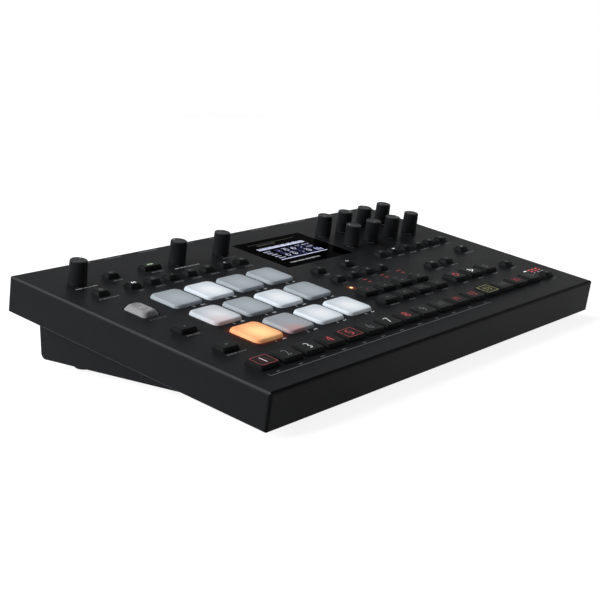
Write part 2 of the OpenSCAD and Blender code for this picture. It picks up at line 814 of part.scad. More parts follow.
module rocker_case() {
    outer_w = switch_case_w + 2 * bezel_rim;
    outer_h = switch_case_h + 2 * bezel_rim;
    difference() {
        union() {
            translate([-switch_case_w / 2, back_y - switch_case_l, -switch_case_h / 2])
                cube([switch_case_w, switch_case_l, switch_case_h]);
            translate([-outer_w / 2, back_y, -outer_h / 2]) cube([outer_w, bezel_t, outer_h]);
        }
        translate([0, rocker_y, 0]) {
            rotate([0, 90, 0])
                cylinder(r = rocker_r + rocker_gap, h = rocker_w + 2 * rocker_gap, center = true);
            rotate([0, 90, 0]) cylinder(
                r = rocker_pin_r + fit_gap,
                h = rocker_w + 2 * (rocker_gap + rocker_pin_l + skin), center = true);
        }
    }
}

// Two flat faces that meet at the middle; the upper one is flush while the power is on
module power_rocker() {
    half = rocker_turn / 2;
    color(key_black) translate([rocker_x, rocker_y, rocker_z]) {
        along_x(rocker_w) rotate(-half) intersection() {
            circle(r = rocker_r);
            behind_faces(half);
        }
        rotate([0, 90, 0])
            cylinder(r = rocker_pin_r, h = rocker_w + 2 * (rocker_gap + rocker_pin_l), center = true);
    }
}

// What lies behind both faces of the rocker
module behind_faces(turn) {
    side = 4 * rocker_r;
    intersection_for (a = [-turn, turn])
        rotate(a) translate([rocker_chord - side, -side / 2]) square(side);
}

top_cover();
base_case();
rear_panel();
rubber_feet();
case_screws();
control_board();
switches_and_pad_sensors();
encoder_bodies();
display_module();
display_window();
main_board();
audio_jacks();
data_sockets();
power_rocker();
knob(volume_at, volume_knob_r);  // volume_knob
knob(level_at, knob_r);  // level_knob
knob(select_at, knob_r);  // select_knob
for (i = [1:8]) knob(data_at[i - 1], knob_r);
for (i = [1:12]) pad(i);
for (i = [1:16]) trig_key(i);
func_key();
color(key_black) key_group(left_at);  // left_keys
color(key_black) key_group(screen_at);  // screen_keys
color(key_black) key_group(mode_at);  // mode_keys
color(key_black) key_group(page_at);  // page_keys
color(key_black) key_group(transport_at);  // transport_keys
color(key_black) key_group(right_at);  // right_keys
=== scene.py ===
"""A desktop drum machine: the looks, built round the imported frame."""
import json
import math

import bpy
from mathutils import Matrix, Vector


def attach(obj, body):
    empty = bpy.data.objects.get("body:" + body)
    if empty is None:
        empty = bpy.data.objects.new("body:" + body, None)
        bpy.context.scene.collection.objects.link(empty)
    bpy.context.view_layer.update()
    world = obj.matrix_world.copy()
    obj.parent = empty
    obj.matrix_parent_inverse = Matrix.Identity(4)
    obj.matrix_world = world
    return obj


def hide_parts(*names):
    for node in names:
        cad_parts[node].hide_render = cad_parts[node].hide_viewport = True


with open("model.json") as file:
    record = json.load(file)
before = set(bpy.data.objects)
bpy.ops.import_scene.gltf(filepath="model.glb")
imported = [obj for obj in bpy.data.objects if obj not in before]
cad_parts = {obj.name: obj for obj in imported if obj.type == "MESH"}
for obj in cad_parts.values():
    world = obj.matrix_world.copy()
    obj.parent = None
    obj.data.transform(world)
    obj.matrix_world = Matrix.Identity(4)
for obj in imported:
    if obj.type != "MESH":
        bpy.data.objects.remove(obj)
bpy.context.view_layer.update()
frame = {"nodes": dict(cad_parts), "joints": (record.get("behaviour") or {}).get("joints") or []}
nodes = frame["nodes"]
joints = {j["child"]: j for j in frame["joints"]}

# ---------------------------------------------------------------- sizes, in millimetres on the panel
MM = 0.001
PANEL_D, SHEET = 223, 2
FRONT_MARGIN, REAR_MARGIN = 23.6, 34.7
KEY_H, KEY_INSET, WIDE_INSET, TRIG_INSET, KEY_CORNER = 3.0, 1.0, 0.7, 0.6, 1.4
KEY_W, KEY_D, WIDE_W, WIDE_D, WIDE_PITCH, WIDE_ROW_PITCH = 10.4, 8.6, 15.5, 10.6, 20.93, 17
TRIG_W, TRIG_D, TRIG_X, TRIG_Y, TRIG_PITCH = 17.2, 14, 28, FRONT_MARGIN + 7, 20.66
PAD_W, PAD_D, PAD_H, PAD_R = 25.6, 26, 2.1, 4
PAD_X, PAD_Y, PAD_PITCH_X, PAD_PITCH_Y = 63, 66.3, 30.6, 34.4
LEFT_X, TRACK_X, TRACK_PITCH = 27.8, 55.7, 17.5
TRACK_Y, UPPER_Y, KNOB_Y = 167.5, 189.8, PANEL_D - REAR_MARGIN
LEFT_WIDE_YS, UPPER_X, UPPER_WIDE_X = (59.3, 93.7), 56.8, 92.3
FUNC_W, FUNC_D, FUNC_H, FUNC_Y = 13.6, 19.5, 3.2, 130.6
WINDOW_X, WINDOW_Y, WINDOW_W, WINDOW_D, WINDOW_R = 222.845, 170.1, 77, 55.5, 1.5
SCREEN_KEYS_X, ARROWS_X, ARROW_PITCH = (197.845, 230.845), 196.245, 17.2
ARROW_Y, CONFIRM_Y = 106.25, 125.45
MODE_X, MODE_Y = 190.95, 59.6
PAGE_X, PAGE_PITCH, PAGE_Y = 276, 16.56, 126.9
TRANSPORT_X, TRANSPORT_Y = 282.8, 62.6
RIGHT_AT = [(353.7, 102.9), (292.1, 90.4), (312.6, 90.4), (353, 60.3), (360.4, 28.2)]
KNOB_H, KNOB_R, KNOB_TOP_R, VOLUME_R, KNOB_LIFT = 17, 6.1, 5.8, 6.4, 0.6
SHAFT_R, KNOB_HOLLOW_R, KNOB_HOLLOW_H = 3, 5.2, 5.6
BOARD_TOP, FLANGE, NECK = -9.6, 0.9, SHEET + 0.15
# The sockets, in millimetres of the frame itself
BACK_Y, DIN_X, DIN_PITCH, DIN_Z = 109.09, 49.0, 21.4, 29.1
USB_X, POWER_X, USB_Z, ROCKER_X = 110.2, 123.4, 25.1, 139.9

# The panel's own axes, taken from the frame: the volume knob's joint lies on a known panel point
VOLUME_AT, JOINT_RISE = (26.3, KNOB_Y), 10
NORMAL = Vector(joints["volume_knob"]["axis"])
SLOPE = math.atan2(-NORMAL.y, NORMAL.z)
UP_SLOPE = Vector((0, math.cos(SLOPE), math.sin(SLOPE)))
RIGHT = Vector((1, 0, 0))
CORNER = Vector(joints["volume_knob"]["pos_m"]) - MM * (
    RIGHT * VOLUME_AT[0] + UP_SLOPE * VOLUME_AT[1] + NORMAL * JOINT_RISE)


def panel(x, y, z):
    """A point given in panel millimetres, in the frame's metres."""
    return CORNER + MM * (RIGHT * x + UP_SLOPE * y + NORMAL * z)


def level(x, y, z):
    """A point given in the frame's own millimetres."""
    return Vector((x, y, z)) * MM


# ---------------------------------------------------------------- materials
def srgb(r, g, b):
    """Linear colour of an sRGB value from 0 to 255."""
    return tuple(((c / 255 + 0.055) / 1.055) ** 2.4 if c > 10 else c / 255 / 12.92 for c in (r, g, b)) + (1,)


def new_material(name, colour, roughness=0.5, metallic=0.0, specular=0.5):
    mat = bpy.data.materials.new(name)
    mat.use_nodes = True
    shader = mat.node_tree.nodes["Principled BSDF"]
    shader.inputs["Base Color"].default_value = colour
    shader.inputs["Roughness"].default_value = roughness
    shader.inputs["Metallic"].default_value = metallic
    shader.inputs["Specular IOR Level"].default_value = specular
    return mat


def parts_of(mat):
    tree = mat.node_tree
    return tree.nodes, tree.links, tree.nodes["Principled BSDF"]


def add_noise(mat, scale, detail=3):
    made, links, _ = parts_of(mat)
    place = made.new("ShaderNodeTexCoord")
    noise = made.new("ShaderNodeTexNoise")
    noise.inputs["Scale"].default_value = scale
    noise.inputs["Detail"].default_value = detail
    links.new(place.outputs["Object"], noise.inputs["Vector"])
    return noise.outputs["Fac"]


def add_grain(mat, scale, strength, distance=0.0001):
    """Fine bumps all over, such as powder coat or moulded texture."""
    made, links, shader = parts_of(mat)
    bump = made.new("ShaderNodeBump")
    bump.inputs["Strength"].default_value = strength
    bump.inputs["Distance"].default_value = distance
    links.new(add_noise(mat, scale), bump.inputs["Height"])
    links.new(bump.outputs["Normal"], shader.inputs["Normal"])


def spread(mat, value, to_min, to_max, from_min=0.0, from_max=1.0, smooth=False):
    made, links, _ = parts_of(mat)
    node = made.new("ShaderNodeMapRange")
    if smooth:
        node.interpolation_type = "SMOOTHSTEP"
    for name, number in (("From Min", from_min), ("From Max", from_max),
                         ("To Min", to_min), ("To Max", to_max)):
        node.inputs[name].default_value = number
    links.new(value, node.inputs["Value"])
    return node.outputs["Result"]


def mix_colours(mat, factor, first, second):
    """first and second are colours or sockets."""
    made, links, _ = parts_of(mat)
    mix = made.new("ShaderNodeMix")
    mix.data_type = "RGBA"
    for name, colour in (("A", first), ("B", second)):
        if isinstance(colour, tuple):
            mix.inputs[name].default_value = colour
        else:
            links.new(colour, mix.inputs[name])
    links.new(factor, mix.inputs["Factor"])
    return mix.outputs["Result"]


def vary_roughness(mat, scale, low, high):
    """Slow changes of gloss, as handling leaves them."""
    _, links, shader = parts_of(mat)
    links.new(spread(mat, add_noise(mat, scale), low, high), shader.inputs["Roughness"])


def vary_colour(mat, scale, first, second):
    _, links, shader = parts_of(mat)
    links.new(mix_colours(mat, add_noise(mat, scale, 4), first, second), shader.inputs["Base Color"])


def glow(mat, colour, strength):
    _, _, shader = parts_of(mat)
    shader.inputs["Emission Color"].default_value = colour
    shader.inputs["Emission Strength"].default_value = strength


BODY_DARK, BODY_LIGHT = srgb(27, 28, 30), srgb(32, 33, 35)
# Painted light: a highlight colour for the side folds and a shade colour for the front fold
PAINTED_FOLD_HIGHLIGHT, PAINTED_FRONT_FOLD_SHADE = srgb(66, 67, 69), srgb(15, 15, 16)


def fold_mask(mat, axis, rise, fall):
    """1 along a fold: where the surface faces partly sideways (X) or partly to the front (Y)."""
    made, links, _ = parts_of(mat)
    facing = made.new("ShaderNodeNewGeometry")
    split = made.new("ShaderNodeSeparateXYZ")
    links.new(facing.outputs["Normal"], split.inputs["Vector"])
    part = made.new("ShaderNodeMath")
    part.operation = "ABSOLUTE" if axis == "X" else "MULTIPLY"
    part.inputs[1].default_value = -1
    links.new(split.outputs[axis], part.inputs[0])
    both = made.new("ShaderNodeMath")
    both.operation = "MULTIPLY"
    links.new(spread(mat, part.outputs[0], 0, 1, *rise, True), both.inputs[0])
    links.new(spread(mat, part.outputs[0], 1, 0, *fall, True), both.inputs[1])
    return both.outputs[0]


def powder_coat(name="powder_coat"):
    """The coat has painted light on its folds: a paler painted highlight along the side folds, and a dark
    painted shade along the front fold.
    """
    mat = new_material(name, BODY_DARK, 0.42, specular=0.038)
    _, links, shader = parts_of(mat)
    coat = mix_colours(mat, add_noise(mat, 60, 4), BODY_DARK, BODY_LIGHT)
    # painted highlight: paler along the side folds
    coat = mix_colours(mat, fold_mask(mat, "X", (0.3, 0.6), (0.72, 0.94)), coat, PAINTED_FOLD_HIGHLIGHT)
    # painted shade: darker along the front fold
    coat = mix_colours(mat, fold_mask(mat, "Y", (0.3, 0.6), (0.8, 0.97)), coat, PAINTED_FRONT_FOLD_SHADE)
    links.new(coat, shader.inputs["Base Color"])
    add_grain(mat, 2600, 0.22, 0.00005)
    vary_roughness(mat, 25, 0.38, 0.46)
    return mat


def moulded(name, colour, roughness, specular=0.12):
    """Moulded plastic or rubber: a fine grain, with slow changes of tone and gloss."""
    mat = new_material(name, colour, roughness, specular=specular)
    add_grain(mat, 3200, 0.15, 0.00004)
    paler = tuple(c * 1.18 for c in colour[:3]) + (1,)
    vary_colour(mat, 400, colour, paler)
    vary_roughness(mat, 180, roughness - 0.05, roughness + 0.06)
    return mat


def metal(name, colour, roughness):
    mat = new_material(name, colour, roughness, metallic=1)
    add_grain(mat, 1500, 0.12, 0.00004)
    vary_roughness(mat, 300, roughness - 0.06, roughness + 0.08)
    return mat


def board_green():
    mat = new_material("solder_mask", srgb(18, 80, 48), 0.3)
    vary_colour(mat, 300, srgb(16, 72, 42), srgb(22, 92, 54))
    add_grain(mat, 900, 0.1)
    return mat


def paint(name, colour, strength=0.0):
    mat = new_material(name, colour, 0.6, specular=0.1)
    add_grain(mat, 2500, 0.2, 0.00003)
    if strength:
        glow(mat, colour, strength)
    return mat


def part_steel(name, axis, low, high):
    """Black plastic that is plated steel where the place along one axis is from low to high, in metres."""
    mat = new_material(name, srgb(30, 30, 31), 0.4, specular=0.3)
    made, links, shader = parts_of(mat)
    place = made.new("ShaderNodeTexCoord")
    split = made.new("ShaderNodeSeparateXYZ")
    links.new(place.outputs["Object"], split.inputs["Vector"])
    inside = []
    for operation, edge in (("GREATER_THAN", low), ("LESS_THAN", high)):
        test = made.new("ShaderNodeMath")
        test.operation = operation
        test.inputs[1].default_value = edge
        links.new(split.outputs[axis], test.inputs[0])
        inside.append(test.outputs[0])
    both = made.new("ShaderNodeMath")
    both.operation = "MULTIPLY"
    for k in (0, 1):
        links.new(inside[k], both.inputs[k])
    links.new(both.outputs[0], shader.inputs["Metallic"])
    colour = mix_colours(mat, both.outputs[0], srgb(30, 30, 31), (0.5, 0.51, 0.53, 1))
    links.new(colour, shader.inputs["Base Color"])
    add_grain(mat, 1800, 0.12, 0.00004)
    return mat


BODY = powder_coat()
KEY = moulded("key_plastic", srgb(22, 23, 24), 0.45, 0.04)
# Painted light: the key tops are a paler copy of the key plastic, for the light from above
KEY_PAINTED_LIT_TOP = moulded("key_top_painted_light", srgb(30, 31, 32), 0.42, 0.04)
KNOB = moulded("knob_rubber", srgb(25, 26, 28), 0.5, 0.08)
# Painted light: the knob's top is a paler copy of the knob rubber, for the light from above
KNOB_PAINTED_LIT_TOP = moulded("knob_top_painted_light", srgb(44, 45, 47), 0.45, 0.15)
GREY_KEY = moulded("grey_key_plastic", srgb(140, 140, 142), 0.5, 0.2)
PART = moulded("moulded_black", srgb(26, 26, 27), 0.5, 0.3)
JACKS = part_steel("jack_plastic_and_nuts", "Y", (BACK_Y + 0.05) * MM, 1)
SOCKETS = part_steel("socket_plastic_and_shell", "X", (USB_X - 6.3) * MM, (USB_X + 6.3) * MM)
RUBBER = moulded("foot_rubber", srgb(28, 28, 28), 0.75, 0.15)
STEEL = metal("plated_steel", (0.55, 0.56, 0.58, 1), 0.32)
BOARD = board_green()
PRINT = paint("grey_print", srgb(120, 122, 125))
DIM_PRINT = paint("dim_print", srgb(80, 82, 84))
FIGURE = paint("grey_figure", srgb(150, 152, 156))
PALE_PRINT = paint("pale_print", srgb(215, 217, 220))
RED_LIGHT = paint("red_light", srgb(216, 96, 98), 0.4)
DIM_RED = paint("dim_red_light", srgb(150, 66, 70), 0.25)
FRAME_RED = paint("frame_red_light", srgb(196, 84, 88), 0.35)
YELLOW_LIGHT = paint("yellow_light", srgb(196, 196, 132), 0.3)
GREEN_LIGHT = paint("green_light", srgb(205, 220, 196), 0.35)
WHITE_LIGHT = paint("white_light", srgb(240, 243, 246), 0.5)
LED_CORE = paint("lamp_core", srgb(255, 216, 150), 1.3)
SCREEN_LIGHT = paint("screen_light", srgb(214, 220, 246), 0.5)
SCREEN_BLUE = paint("screen_blue_light", srgb(72, 77, 140), 0.25)
SCREEN_DIM = paint("screen_dim_light", srgb(74, 74, 66), 0.1)


def pad_material(name, core, rim, glow_core, glow_rim, painted_neighbour_light=None):
    """Silicone lit from below: the glow is strongest over the lamp and fades to the rim. Painted light: the
    colour of a lit neighbour's glow is mixed in at the front left."""
    mat = new_material(name, rim, 0.5, specular=0.3)
    made, links, shader = parts_of(mat)
    add_grain(mat, 1800, 0.12, 0.00004)
    place = made.new("ShaderNodeUVMap")
    place.uv_map = "map"

    def far_from(u, v):
        away = made.new("ShaderNodeVectorMath")
        away.operation = "DISTANCE"
        away.inputs[1].default_value = (u, v, 0)
        links.new(place.outputs["UV"], away.inputs[0])
        return away.outputs["Value"]

    reach = far_from(0.5, 0.42)
    colour = mix_colours(mat, spread(mat, reach, 0, 1, 0.02, 0.66, True), core, rim)
    # painted light: a lit neighbour's glow, mixed in at the front left
    if painted_neighbour_light:
        near = spread(mat, far_from(0.25, -0.05), 0.75, 0, 0.05, 0.62, True)
        colour = mix_colours(mat, near, colour, painted_neighbour_light)
    links.new(colour, shader.inputs["Base Color"])
    links.new(colour, shader.inputs["Emission Color"])
    links.new(spread(mat, reach, glow_core, glow_rim, 0.02, 0.66, True), shader.inputs["Emission Strength"])
    return mat


def halo_material(name, base, colour, strength, reach=1.0):
    """A surface that shows a lamp's light, strongest at u = 0 and gone at u = reach."""
    mat = new_material(name, base, 0.42, specular=0.03)
    made, links, shader = parts_of(mat)
    add_grain(mat, 2600, 0.22, 0.00005)
    place = made.new("ShaderNodeUVMap")
    place.uv_map = "map"
    split = made.new("ShaderNodeSeparateXYZ")
    links.new(place.outputs["UV"], split.inputs["Vector"])
    shader.inputs["Emission Color"].default_value = colour
    fading = spread(mat, split.outputs["X"], strength, 0, 0, reach, True)
    links.new(fading, shader.inputs["Emission Strength"])
    return mat


# Painted light: the unlit pads glow faintly, most at the middle, and are paler there than at the rim
PAD_GREY = pad_material("pad_unlit_painted_glow", srgb(176, 186, 193), srgb(158, 168, 175), 0.08, 0.03)
PAD_SOFT = pad_material("pad_half_lit", srgb(226, 230, 235), srgb(196, 202, 209), 0.16, 0.05,
                        srgb(228, 206, 210))
PAD_WHITE = pad_material("pad_lit_white", srgb(238, 243, 248), srgb(208, 218, 226), 0.22, 0.1)
# The pink is painted light from a lit neighbour, at the front left
PAD_PINK = pad_material("pad_pink_painted_neighbour_light", srgb(172, 178, 186), srgb(160, 166, 172), 0.06, 0.03,
                        srgb(204, 150, 152))
PAD_ORANGE = pad_material("pad_lit_orange", srgb(255, 224, 158), srgb(248, 166, 112), 0.3, 0.22)
RED_HALO = halo_material("red_glow", BODY_DARK, srgb(225, 60, 30), 0.09)
AMBER_HALO = halo_material("amber_glow", BODY_DARK, srgb(255, 100, 45), 0.2)
# The lit keys' tops start from the same paler top colour: painted light from above
KEY_PAINTED_LIT_TOP_COLOUR = srgb(30, 31, 32)
KEY_RED = halo_material("key_lit_red", KEY_PAINTED_LIT_TOP_COLOUR, srgb(230, 60, 70), 0.07, 0.75)
KEY_YELLOW = halo_material("key_lit_yellow", KEY_PAINTED_LIT_TOP_COLOUR, srgb(210, 210, 110), 0.035, 0.8)
KEY_GREEN = halo_material("key_lit_green", KEY_PAINTED_LIT_TOP_COLOUR, srgb(110, 190, 100), 0.035)


# ---------------------------------------------------------------- mesh helpers, in panel millimetres
class Shape:
    """Faces gathered for one object, each with a material."""

    def __init__(self, place=panel, chart=None):
        """chart gives a point's two texture coordinates, where a material reads them."""
        self.points, self.faces, self.slots, self.materials = [], [], [], []
        self.place, self.chart = place, chart

    def add(self, face, mat):
        if mat not in self.materials:
            self.materials.append(mat)
        self.faces.append(face)
        self.slots.append(self.materials.index(mat))

    def skin(self, rings, mat, top_mat=None, first_top=0):
        """Quads from ring to ring; from ring first_top on they take top_mat."""
        start, n = len(self.points), len(rings[0])
        for ring in rings:
            self.points += ring
        for k in range(len(rings) - 1):
            use = top_mat if top_mat and k >= first_top else mat
            for i in range(n):
                j = (i + 1) % n
                a, b = start + k * n, start + (k + 1) * n
                self.add((a + i, a + j, b + j, b + i), use)
        return start

    def loft(self, rings, mat, top_mat=None, first_top=0):
        """Closed skin through rings of equal length, capped at both ends."""
        n = len(rings[0])
        start = self.skin(rings, mat, top_mat, first_top)
        self.add(tuple(start + i for i in reversed(range(n))), mat)
        last = start + (len(rings) - 1) * n
        self.add(tuple(last + i for i in range(n)), top_mat or mat)

    def prism(self, outline, low, high, mat):
        """Thin slab over an outline of (x, y) points."""
        self.loft([[(x, y, low) for x, y in outline], [(x, y, high) for x, y in outline]], mat)

    def strip(self, x, y, w, d, low, high, mat):
        self.prism([(x - w / 2, y - d / 2), (x + w / 2, y - d / 2),
                    (x + w / 2, y + d / 2), (x - w / 2, y + d / 2)], low, high, mat)

    def frame(self, x, y, w, d, r, line, low, high, mat):
        """An outline of a rounded rectangle, line wide."""
        outer = rounded_ring(x, y, w, d, r, 0)
        inner = rounded_ring(x, y, w - 2 * line, d - 2 * line, r - line, 0)
        rings = [[(p[0], p[1], z) for p in ring]
                 for ring, z in ((outer, low), (outer, high), (inner, high), (inner, low), (outer, low))]
        self.skin(rings, mat)

    def build(self, name, smooth=30):
        mesh = bpy.data.meshes.new(name)
        mesh.from_pydata([self.place(*p) for p in self.points], [], self.faces)
        for mat in self.materials:
            mesh.materials.append(mat)
        mesh.polygons.foreach_set("material_index", self.slots)
        if self.chart:
            uv = mesh.uv_layers.new(name="map")
            for loop in mesh.loops:
                uv.data[loop.index].uv = self.chart(self.points[loop.vertex_index])
        mesh.validate()
        mesh.shade_smooth()
        mesh.set_sharp_from_angle(angle=math.radians(smooth))
        obj = bpy.data.objects.new(name, mesh)
        bpy.context.scene.collection.objects.link(obj)
        return obj

    def finish(self, name, body, node=None, smooth=30):
        """Build it, let it ride on its body, and let it stand for a node."""
        obj = self.build(name, smooth)
        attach(obj, body)
        if node:
            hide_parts(node)


def rounded_ring(x, y, w, d, r, z, corner_steps=5):
    """A rounded rectangle at height z, anticlockwise from the right-hand side."""
    r = max(min(r, w / 2 - 0.01, d / 2 - 0.01), 0.01)
    ring = []
    for quarter, (sx, sy) in enumerate(((1, 1), (-1, 1), (-1, -1), (1, -1))):
        for k in range(corner_steps + 1):
            turn = (quarter + k / corner_steps) * math.pi / 2
            ring.append((x + sx * (w / 2 - r) + r * math.cos(turn),
                         y + sy * (d / 2 - r) + r * math.sin(turn), z))
    return ring


def off_edge(p, x, y, w, d, r):
    """How far a point lies outside a rounded rectangle."""
    across, along = abs(p[0] - x) - w / 2 + r, abs(p[1] - y) - d / 2 + r
    return math.hypot(max(across, 0), max(along, 0)) + min(max(across, along), 0) - r


CAP_SIDE_RINGS = 7  # the rings of cap_rings before the top begins


def cap_rings(x, y, w, d, h, inset, r, r_top, fillet, border=0.0, recess=0.0, steps=6):
    """The rings of a key's cap above the panel: sloping sides and a rounded rim. The top is flat,
    or lies a recess lower inside a border."""
    length = math.hypot(inset, h)
    corner = (inset, h)
    start = (corner[0] - fillet * inset / length, corner[1] - fillet * h / length)
    end = (corner[0] + fillet, h)
    profile = [(0.0, 0.0), (start[0] / 2, start[1] / 2)]
    for k in range(steps):
        t = k / (steps - 1)
        profile.append(tuple(
            (1 - t) ** 2 * start[i] + 2 * t * (1 - t) * corner[i] + t * t * end[i] for i in (0, 1)))
    rings = [rounded_ring(x, y, w - 2 * a, d - 2 * a, r + (r_top - r) * z / h, z) for a, z in profile]
    if recess:
        edge = end[0] + border
        for a, z in ((edge, h), (edge + 0.25, h - recess * 0.7), (edge + 0.5, h - recess)):
            rings.append(rounded_ring(x, y, w - 2 * a, d - 2 * a, r_top, z))
        end = (edge + 0.5, h - recess)
    inner_w, inner_d = w - 2 * end[0], d - 2 * end[0]
    for share in (0.9, 0.6, 0.3, 0.05):
        rings.append(rounded_ring(x, y, inner_w * share, inner_d * share, r_top * share, end[1]))
    return rings


def add_key(shape, x, y, w, d, h, inset, mat, fillet=0.7, r_top=1.9, top_mat=None, border=0.0, recess=0.0,
            stem=4.0, foot=-4.4, corner=KEY_CORNER):
    """A whole key: stem, flange, neck and cap."""
    r, fw, fd = corner, w + 2 * FLANGE, d + 2 * FLANGE
    rings = [rounded_ring(x, y, stem, stem, 0.4, foot), rounded_ring(x, y, stem, stem, 0.4, -NECK - 1),
             rounded_ring(x, y, fw, fd, r, -NECK - 1), rounded_ring(x, y, fw, fd, r, -NECK),
             rounded_ring(x, y, w, d, r, -NECK)]
    first_top = len(rings) + CAP_SIDE_RINGS
    rings += cap_rings(x, y, w, d, h, inset, r, r_top, fillet, border, recess)
    shape.loft(rings, mat, top_mat, first_top)


def text_outline(words, size, thin):
    """Flat faces of plain figures with thinned strokes, centred on the origin, as (points, faces)."""
    curve = bpy.data.curves.new("figures", "FONT")
    curve.body = words
    curve.size = size
    curve.offset = -thin
    curve.space_character = 0.92
    curve.align_x = "CENTER"
    curve.align_y = "CENTER"
    curve.resolution_u = 3
    obj = bpy.data.objects.new("figures", curve)
    bpy.context.scene.collection.objects.link(obj)
    bpy.context.view_layer.update()
    mesh = bpy.data.meshes.new_from_object(obj.evaluated_get(bpy.context.evaluated_depsgraph_get()))
    points = [tuple(v.co) for v in mesh.vertices]
    faces = [tuple(f.vertices) for f in mesh.polygons]
    bpy.data.objects.remove(obj)
    return points, faces


def add_figures(shape, words, x, y, z, size, mat, thin=0.0):
    points, faces = text_outline(words, size, thin)
    start = len(shape.points)
    shape.points += [(x + p[0], y + p[1], z) for p in points]
    for face in faces:
        shape.add(tuple(start + i for i in face), mat)


PRINT_LOW, PRINT_HIGH = -0.02, 0.03


def add_label(shape, x, y, length, mat, height=1.5, low=PRINT_LOW, high=PRINT_HIGH):
    """A row of short blocks where a label stands: it has a label's weight and no letters."""
    widths, heights = (0.7, 0.4, 0.65, 0.85, 0.4, 0.75, 0.55), (1, 0.7, 0.85, 1, 0.7)
    at, k = x - length / 2, int(x * 3 + y)
    while at < x + length / 2 - 0.3:
        w = min(widths[k % len(widths)], x + length / 2 - at)
        shape.strip(at + w / 2, y, w, height * heights[k % len(heights)], low, high, mat)
        at += w + (0.5 if k % 6 else 1.1)
        k += 1


def triangle(x, y, size, turn):
    return [(x + size * math.cos(turn + k * 2 * math.pi / 3),
             y + size * math.sin(turn + k * 2 * math.pi / 3)) for k in range(3)]


def disc(x, y, r, steps=20):
    return [(x + r * math.cos(2 * math.pi * k / steps), y + r * math.sin(2 * math.pi * k / steps))
            for k in range(steps)]


# ---------------------------------------------------------------- keys
ON_KEY = (KEY_H - 0.1, KEY_H + 0.03)
TRIG_FIGURE, TRIG_FIGURE_PAIR = 10.4, 8.8
# The lit step keys: the colour of the figures, and of the key's top
TRIG_LIGHTS = {i: (RED_LIGHT, KEY_RED) for i in (4, 5, 8, 11, 12, 15)}
TRIG_LIGHTS |= {1: (WHITE_LIGHT, KEY_RED), 3: (WHITE_LIGHT, KEY_PAINTED_LIT_TOP), 7: (WHITE_LIGHT, KEY_PAINTED_LIT_TOP),
                13: (YELLOW_LIGHT, KEY_YELLOW)}
TRIG_FRAMES = {1: FRAME_RED, 5: FRAME_RED, 9: DIM_PRINT, 13: YELLOW_LIGHT}


def make_trig_keys():
    for i in range(1, 17):
        x = TRIG_X + (i - 1) * TRIG_PITCH
        shape = Shape(chart=lambda p, x=x: (math.hypot(p[0] - x, p[1] - TRIG_Y) / (TRIG_W / 2), 0))
        figures, top = TRIG_LIGHTS.get(i, (FIGURE, KEY_PAINTED_LIT_TOP))
        add_key(shape, x, TRIG_Y, TRIG_W, TRIG_D, KEY_H, TRIG_INSET, KEY, fillet=0.45, r_top=1.6, top_mat=top)
        size = TRIG_FIGURE if i < 10 else TRIG_FIGURE_PAIR
        add_figures(shape, str(i), x, TRIG_Y - 0.2, ON_KEY[1], size, figures, 0.27)
        if i in TRIG_FRAMES:
            w, d = TRIG_W - 2 * TRIG_INSET - 2, TRIG_D - 2 * TRIG_INSET - 1.8
            shape.frame(x + 0.3, TRIG_Y, w, d, 1.1, 0.24, *ON_KEY, TRIG_FRAMES[i])
        shape.finish(f"trig_key_{i}_cap", f"trig_key_{i}", f"trig_key_{i}")


def make_key_group(node, places, marks):
    """places: (x, y, w, d); marks: one function for each key that draws what its top carries."""
    shape = Shape(chart=lambda p: (math.hypot((p[0] - UPPER_WIDE_X) / 9, (p[1] - UPPER_Y) / 6), 0))
    for k, (x, y, w, d) in enumerate(places):
        wide = w > KEY_W + 0.1
        add_key(shape, x, y, w, d, KEY_H, WIDE_INSET if wide else KEY_INSET, KEY,
                fillet=0.7 if wide else 0.8, r_top=1.9 if wide else 2.2,
                top_mat=KEY_GREEN if (x, y) == (UPPER_WIDE_X, UPPER_Y) else KEY_PAINTED_LIT_TOP)
        marks[k % len(marks)](shape, x, y)
    shape.finish(node + "_caps", node, node)


def bar_mark(w, mat=PRINT, d=0.9):
    """One, two or three short strokes side by side."""
    def draw(shape, x, y):
        count = max(1, round(w / 1.3))
        for k in range(count):
            shape.strip(x + (k - (count - 1) / 2) * 1.3, y, 0.85, d if k % 2 else d * 1.5, *ON_KEY, mat)
    return draw


def arrow_mark(turn, mat=PRINT):
    return lambda shape, x, y: shape.prism(triangle(x, y, 1.4, turn), *ON_KEY, mat)


def dot_mark(r, mat=PRINT):
    return lambda shape, x, y: shape.prism(disc(x, y, r), *ON_KEY, mat)


def ring_mark(w, mat, line=0.5):
    return lambda shape, x, y: shape.frame(x, y, w, w, w / 2 - 0.01, line, *ON_KEY, mat)


